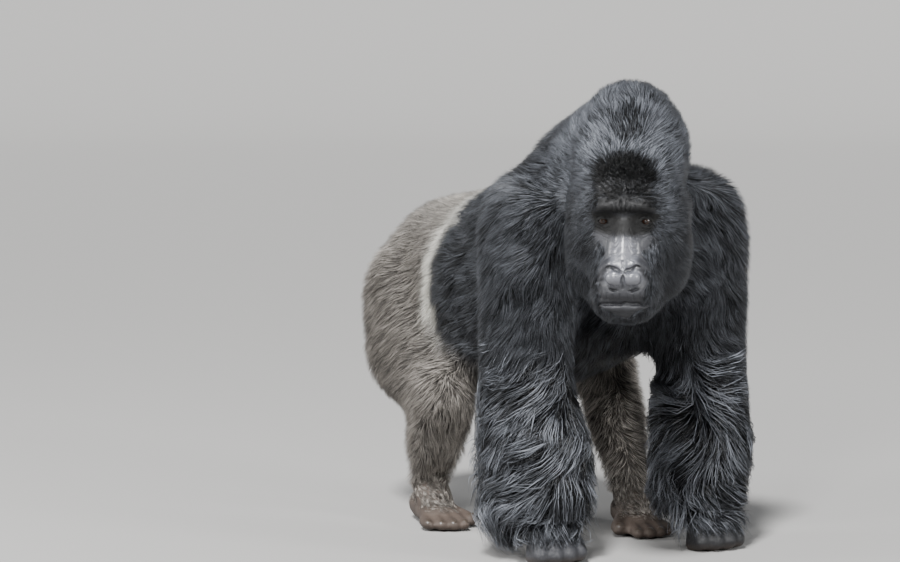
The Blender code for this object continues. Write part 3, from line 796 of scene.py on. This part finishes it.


# Black, brown-grey and white hair, each from its dark locks to its bright ones; the black's bright
# bluish-grey locks are a painted sheen. It is darker towards the roots, as painted shade in the
# coat, and least so in the white.
hair_look, start, shader = new_look("hair", IOR=1.5, Specular_IOR_Level=0.24)
shade, reach = held_value(start, "shade"), held_value(start, "reach")
black_with_painted_sheen = mixed(shade, colour(5, 6, 7), colour(134, 138, 146))
dusk = mixed(shade, colour(78, 74, 70), colour(194, 187, 178))
white = mixed(shade, colour(236, 233, 222), colour(255, 254, 248))
tint = mixed(held_value(start, "silver"), mixed(held_value(start, "brown"), black_with_painted_sheen, dusk), white)
# Painted shade: the locks darken towards their roots, less in the white.
lit = reach + held_value(start, "silver") * 0.7
shadowed = mixed(lit, colour(84, 84, 86), colour(255, 255, 255))
tint = tint.node(
    "Mix", {"data_type": "RGBA", "blend_type": "MULTIPLY"}, {0: 1.0, 6: tint, 7: shadowed}, 2
)
tint.tree.links.new(tint.socket, shader.inputs["Base Color"])
gloss = 0.34 + shade * 0.16
gloss.tree.links.new(gloss.socket, shader.inputs["Roughness"])

furred = 1 - smooth_step(bare, 0.30, 0.90)


def part_share(*names):
    """Where a part's hair grows, with a soft border where the next part's takes over."""
    return relax(kind_is(kinds, *names) * 1.0, edges, 12) * furred


# The hair's length in metres. On the head it is longest at the back and on the lower cheeks.
BODY_HAIR, BROWN_HAIR = 0.040, 0.026
HAIR_LENGTH = {"thigh": 0.034, "shin": 0.034, "forearm": 0.100, "hand": 0.016, "foot": 0.016}
on_head = kind_is(kinds, "head", "eye")
sideways, backward, upward = abs(head_points[:, 0]), head_points[:, 1], head_points[:, 2]
lower = smooth_step(0.02 - upward, 0, 0.06)
head_hair = 0.013 + 0.014 * smooth_step(backward, -0.105, 0.02) + 0.006 * lower
head_hair += 0.016 * smooth_step(sideways, 0.050, 0.075) * lower
length = np.where(on_head, head_hair, BODY_HAIR)
for kind, value in HAIR_LENGTH.items():
    length[kind_is(kinds, kind)] = value
length[kind_is(kinds, "trunk", "thigh", "shin") & (brown > 0.5)] = BROWN_HAIR
length = relax(length, edges, 8)

# Each piece: where it grows, its locks, their joints, length and width, and how they gather.
front_of_head = on_head * furred * smooth_step(-backward, 0.005, 0.045)
grow("coat_face", front_of_head * (0.35 + lower), 30000, 1, length, 0.0014, 0.30, seed=1)
crown = furred * on_head * (1 - 0.8 * smooth_step(-backward, 0.03, 0.08) * lower)
grow("coat_crown", crown, 46000, 1, length, 0.0016, 0.30, seed=2)
grow("coat_neck", part_share("neck"), 22000, 1, length, 0.0021, 0.35, seed=3)
trunk = part_share("trunk")
low = smooth_step(-normals[:, 2], 0.1, 0.5)
grow("coat_back", trunk * (1 - low), 46000, 1, length, 0.0021, 0.32, seed=4)
grow("coat_belly", trunk * low, 12000, 1, length * 1.2, 0.0032, seed=5)
topside = smooth_step(normals[:, 2], 0.0, 0.5) * smooth_step(points[:, 2], 0.034, 0.055)
topside = np.maximum(topside, smooth_step(points[:, 2], 0.055, 0.075))
extremity = kind_is(kinds, "hand", "foot") * topside
for seed, side, sign in ((6, "right", -1), (7, "left", 1)):
    here = points[:, 0] * sign > 0
    upper_arm, forearm = part_share("upper_arm") * here, part_share("forearm") * here
    thigh, shin = part_share("thigh") * here, part_share("shin") * here
    grow(f"coat_upper_arm_{side}", upper_arm, 27000, 1, length, 0.0022, 0.36, seed=seed)
    grow(f"coat_forearm_{side}", forearm, 11000, 3, length, 0.0025, 0.5, 0.9, seed=seed + 10)
    grow(f"coat_thigh_{side}", thigh, 23000, 1, length, 0.0019, 0.32, seed=seed + 20)
    grow(f"coat_shin_{side}", shin, 10000, 1, length, 0.0020, 0.32, seed=seed + 30)
    grow(f"coat_hand_and_foot_{side}", extremity * here, 6000, 1, length, 0.0016, seed=seed + 50)

# --- Nails -------------------------------------------------------------------------------
# Flat dark nails of horn, one on the top of each toe's end. The fingers are folded under the
# knuckles that the animal stands on, so their nails don't show and aren't made.

NAIL_WIDE, NAIL_LONG, NAIL_THICK, NAIL_LIFT = 0.0135, 0.0130, 0.0014, 0.0004
TOE_RADIUS = 0.012
# Each foot's ankle from between the shoulders, and how far the foot turns in degrees.
FEET = {"right": ((-0.195, 0.525), -8), "left": ((0.157, 0.240), -15)}
# Each toe's end from the left ankle, and the size of its nail. The last is the big toe.
TOES = [
    (-0.0269, -0.158, 0.013, 1.0),
    (-0.0006, -0.160, 0.013, 1.0),
    (0.0258, -0.152, 0.013, 1.0),
    (0.0521, -0.138, 0.013, 1.0),
    (-0.0570, -0.112, 0.016, 1.25),
]
nail_look, start, shader = new_look("nail horn", IOR=1.54)
place = start.node("TexCoord", output=3)
streaks = place.node("TexNoise", None, {"Vector": place, "Scale": 340.0, "Detail": 2.0})
tint = mixed(streaks, colour(28, 25, 23), colour(70, 62, 55))
tint.tree.links.new(tint.socket, shader.inputs["Base Color"])
gloss = 0.26 + streaks * 0.2
gloss.tree.links.new(gloss.socket, shader.inputs["Roughness"])


def add_nail(middle, outward, size):
    """One nail, bowed across and along, that lies with its top towards outward."""
    bpy.ops.object.select_all(action="DESELECT")
    bpy.ops.mesh.primitive_grid_add(x_subdivisions=10, y_subdivisions=10, size=2)
    nail = bpy.context.object
    across, along, _ = read_mesh(nail.data)[0].T
    half = NAIL_WIDE * size / 2 * (1 - 0.30 * np.abs(along) ** 3)
    bow = -((across * half) ** 2) / (2 * TOE_RADIUS) - 0.0016 * along**2
    put_points(nail.data, np.stack([across * half, along * NAIL_LONG * size / 2, bow], 1))
    apply_modifier(nail, "SOLIDIFY", thickness=NAIL_THICK, offset=-0.4)
    apply_modifier(nail, "BEVEL", width=0.0004, segments=2)
    turn = Vector(outward).to_track_quat("Z", "Y").to_matrix() @ Matrix.Rotation(math.pi, 3, "Z")
    put_points(nail.data, read_mesh(nail.data)[0] @ np.array(turn).T + np.array(middle))
    return nail


for side, ((ankle_x, ankle_y), foot_turn) in FEET.items():
    mirror = -1 if side == "right" else 1
    turned = Matrix.Rotation(math.radians(foot_turn), 3, "Z")
    ankle = body_at + Vector((ankle_x, ankle_y, 0))
    lean = (turned @ Vector((0, -0.55, 0.85))).normalized()
    nails = []
    for across, along, up, size in TOES:
        over_toe = Vector((across * mirror, along, up)) + Vector((0, -0.006, 0.020))
        found = hide.find_nearest(ankle + turned @ over_toe)[0]
        nails.append(add_nail(found + lean * NAIL_LIFT, lean, size))
    select_only(*nails)
    bpy.ops.object.join()
    nails = bpy.context.object
    nails.name = nails.data.name = f"toenails_{side}"
    bpy.ops.object.shade_smooth_by_angle(angle=math.radians(40))
    nails.data.materials.append(nail_look)
    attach(nails, "root")

# --- Eyes --------------------------------------------------------------------------------
# Two wet eyeballs, dark all over as a gorilla's are: a brown iris in a nearly black white,
# with a clear bulge over the iris. Each sits in its socket behind the lids.

IRIS, IRIS_EDGE, PUPIL, PUPIL_EDGE, CORNEA_RISE = 0.0066, 0.0008, 0.0024, 0.0004, 0.0011
# In the bowed head the eyes look a little up.
LOOK_UP = math.radians(6)
eye_look, start, shader = new_look(
    "eye", Roughness=0.10, IOR=1.34, Coat_Weight=0.3, Coat_Roughness=0.03
)
gaze = held_value(start, "gaze")
place = start.node("TexCoord", output=3)
rays = place.node("TexNoise", None, {"Vector": place, "Scale": 900.0, "Detail": 2.0})
iris_tint = mixed(rays, colour(18, 11, 8), colour(46, 28, 17))
PUPIL_BLACK, EYE_WHITE = colour(3, 3, 3), colour(20, 15, 14)
inner = gaze.node("MapRange", {"clamp": True}, {0: gaze, 1: PUPIL, 2: PUPIL + PUPIL_EDGE})
outer = gaze.node("MapRange", {"clamp": True}, {0: gaze, 1: IRIS - IRIS_EDGE, 2: IRIS})
tint = mixed(outer, mixed(inner, PUPIL_BLACK, iris_tint), EYE_WHITE)
tint.tree.links.new(tint.socket, shader.inputs["Base Color"])
for side in ("right", "left"):
    middle = sum(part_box(f"eye_{side}"), Vector()) / 2
    bpy.ops.mesh.primitive_uv_sphere_add(segments=40, ring_count=28, radius=EYE_RADIUS - 0.0001)
    eye = bpy.context.object
    eye.name = eye.data.name = f"eyeball_{side}"
    ball = read_mesh(eye.data)[0]
    # The pole is the pupil, and the ball there swells into the clear front of the eye.
    from_axis, ahead = np.hypot(ball[:, 0], ball[:, 1]), ball[:, 2] > 0
    ball[:, 2] += ahead * CORNEA_RISE * smooth_step(IRIS * 1.15 - from_axis, 0, IRIS)
    keep_value(eye.data, "gaze", np.where(ahead, from_axis, 1))
    look_out = Matrix.Rotation(math.radians(90) - LOOK_UP, 3, "X")
    put_points(eye.data, ball @ np.array(head_turn @ look_out).T + np.array(middle))
    eye.data.materials.append(eye_look)
    eye.data.shade_smooth()
    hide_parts(f"eye_{side}")
    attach(eye, "root")

# --- Floor, light and camera -------------------------------------------------------------
# A plain pale floor that curves up into a wall all round, a soft high sun from the animal's
# front right, three broad lights that fill its shade, and the camera, low on the sun's side.

FLOOR_FLAT, FLOOR_CURVE, CURVE_STEPS = 30.0, 12.0, 12
bpy.ops.object.select_all(action="DESELECT")
bpy.ops.mesh.primitive_circle_add(vertices=128, radius=FLOOR_FLAT, fill_type="NGON")
floor = bpy.context.object
floor.name = "floor"
bpy.ops.object.mode_set(mode="EDIT")
bpy.ops.mesh.select_all(action="SELECT")
bpy.ops.mesh.region_to_loop()
radius, rise = FLOOR_FLAT, 0.0
for step in range(1, CURVE_STEPS + 1):
    turn = math.radians(90) * step / CURVE_STEPS
    next_radius = FLOOR_FLAT + FLOOR_CURVE * math.sin(turn)
    next_rise = FLOOR_CURVE * (1 - math.cos(turn))
    bpy.ops.mesh.extrude_edges_move(TRANSFORM_OT_translate={"value": (0, 0, next_rise - rise)})
    bpy.ops.transform.resize(value=(next_radius / radius, next_radius / radius, 1))
    radius, rise = next_radius, next_rise
bpy.ops.object.mode_set(mode="OBJECT")
floor.data.shade_smooth()
floor_look = new_look("floor paint", Roughness=0.85, Base_Color=(0.23, 0.226, 0.22, 1))[0]
floor.data.materials.append(floor_look)


MID_BODY = Vector((0, 0, 0.5))


def soft_light(name, place, size, power):
    """A square light at a place from between the shoulders, turned to the middle of the body."""
    bpy.ops.object.light_add(type="AREA", location=body_at + Vector(place))
    light = bpy.context.object
    light.name = name
    light.data.size = size
    light.data.energy = power
    light.rotation_euler = (MID_BODY - Vector(place)).to_track_quat("-Z", "Y").to_euler()


SUN_FROM = Vector((-0.40, -0.42, 0.81))
bpy.ops.object.light_add(type="SUN", rotation=SUN_FROM.to_track_quat("Z", "Y").to_euler())
sun = bpy.context.object
sun.name = "overhead"
sun.data.energy = 9.5
sun.data.angle = math.radians(10)
soft_light("front fill", (-3.4, -3.8, 2.4), 0.8, 330)
soft_light("side fill", (-4.4, 1.6, 1.8), 1.6, 250)
soft_light("far fill", (2.4, -4.6, 1.8), 1.2, 260)

world = bpy.data.worlds.new("studio")
bpy.context.scene.world = world
world.use_nodes = True
sky = world.node_tree.nodes["Background"]
sky.inputs["Color"].default_value = (0.86, 0.90, 0.95, 1)
sky.inputs["Strength"].default_value = 0.42

CAMERA_TURN, CAMERA_RISE, CAMERA_FAR = math.radians(-30), math.radians(5), 6.0
# The lens and the width of the film, and on it how far right of its middle and below it the
# body stands, all in millimetres.
LENS, FILM_WIDE, BODY_RIGHT, BODY_DOWN = 114.28, 36, 7.0, 1.28
right = Vector((math.cos(CAMERA_TURN), math.sin(CAMERA_TURN), 0))
level_back = Vector((math.sin(CAMERA_TURN), -math.cos(CAMERA_TURN), 0))
back = level_back * math.cos(CAMERA_RISE) + Vector((0, 0, math.sin(CAMERA_RISE)))
above = back.cross(right)
bpy.ops.object.camera_add(location=body_at + MID_BODY + back * CAMERA_FAR)
camera = bpy.context.object
camera.data.lens = LENS
camera.data.sensor_width = FILM_WIDE
toward = -back * LENS - right * BODY_RIGHT + above * BODY_DOWN
camera.rotation_euler = toward.to_track_quat("-Z", "Y").to_euler()
bpy.context.scene.camera = camera
